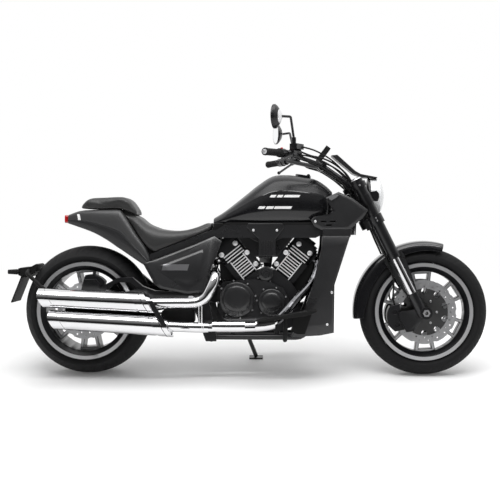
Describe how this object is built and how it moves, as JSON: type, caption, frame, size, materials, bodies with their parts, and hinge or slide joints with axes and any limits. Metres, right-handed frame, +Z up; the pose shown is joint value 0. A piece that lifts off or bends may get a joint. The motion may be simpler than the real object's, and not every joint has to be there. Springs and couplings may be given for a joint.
{
  "type": "power cruiser motorcycle",
  "caption": "Long, low power cruiser motorcycle with a finned V-twin engine, upside-down fork, cast twin-spoke wheels and stacked mufflers, parked leaning on its side stand.",
  "frame": {"origin": "on the ground under the centre of the parked machine's bounding box", "axes": "+X forward, +Y to the rider's left, +Z up; the machine leans to +Y on its side stand"},
  "size_m": [2.4103, 0.9154, 1.3632],
  "materials": {
    "tyre_rubber": "satin",
    "wheel_black": "satin",
    "disc_steel": "brushed",
    "dark_steel": "oiled",
    "satin_black": "satin",
    "chrome": "polished",
    "bright_steel": "satin",
    "charcoal": "satin",
    "lens_clear": "clear",
    "grip_rubber": "matte",
    "mirror_shell": "gloss",
    "engine_black": "satin",
    "radiator_dark": "matte",
    "gloss_black": "gloss",
    "seat_cover": "grained",
    "lamp_red": "gloss"
  },
  "bodies": {
    "chassis": {"frame_spars": "satin_black", "frame_cradle": "satin_black", "crankcase": "engine_black", "engine_covers": "engine_black", "cylinders": "engine_black", "cylinder_heads": "engine_black", "airbox_cover": "engine_black", "radiator": "radiator_dark", "radiator_shrouds": "charcoal", "fuel_tank": "gloss_black", "filler_cap": "gloss_black", "shoulder_panels": "charcoal", "front_indicators": "lens_clear", "rider_seat": "seat_cover", "pillion_pad": "seat_cover", "tail_fairing": "gloss_black", "tail_light": "lamp_red", "side_covers": "gloss_black", "swingarm": "satin_black", "pivot_bolt": "bright_steel", "rear_axle": "bright_steel", "rear_caliper": "satin_black", "drive_chain": "dark_steel", "sprocket_cover": "engine_black", "exhaust_pipes": "chrome", "mufflers": "chrome", "footboards": "satin_black", "plate_bracket": "satin_black", "stand_bracket": "satin_black"},
    "steering": {"fork_clamps": "satin_black", "fork_tubes": "satin_black", "fork_sliders": "chrome", "fork_feet": "satin_black", "front_axle": "bright_steel", "front_calipers": "satin_black", "front_fender": "charcoal", "headlamp_ears": "satin_black", "headlamp_shell": "satin_black", "headlamp_lens": "lens_clear", "lamp_cowl": "charcoal", "dash": "satin_black", "handlebar": "satin_black", "grips": "grip_rubber", "bar_controls": "satin_black", "mirrors": "mirror_shell", "brake_hoses": "grip_rubber"},
    "front_wheel": {"front_tyre": "tyre_rubber", "front_rim": "wheel_black", "front_discs": "disc_steel"},
    "rear_wheel": {"rear_tyre": "tyre_rubber", "rear_rim": "wheel_black", "rear_disc": "disc_steel", "rear_sprocket": "dark_steel"},
    "side_stand": {"side_stand": "satin_black"}
  },
  "joints": [
    {"name": "steering", "type": "hinge", "parent": "chassis", "child": "steering", "pos_m": [0.83647, -0.14111, 0.29239], "axis": [-0.4441, 0.1401, 0.885], "range_deg": [-32, 32]},
    {"name": "front_wheel_spin", "type": "hinge", "parent": "steering", "child": "front_wheel", "pos_m": [0.88575, -0.13728, 0.31651], "axis": [-0.0001, 0.9877, -0.1564], "continuous": true},
    {"name": "rear_wheel_spin", "type": "hinge", "parent": "chassis", "child": "rear_wheel", "pos_m": [-0.80925, -0.1365, 0.32254], "axis": [-0.0001, 0.9877, -0.1564], "continuous": true},
    {"name": "side_stand_fold", "type": "hinge", "parent": "chassis", "child": "side_stand", "pos_m": [-0.01935, -0.01729, 0.16697], "axis": [-0.0001, 0.9877, -0.1564], "range_deg": [0, 98]}
  ]
}
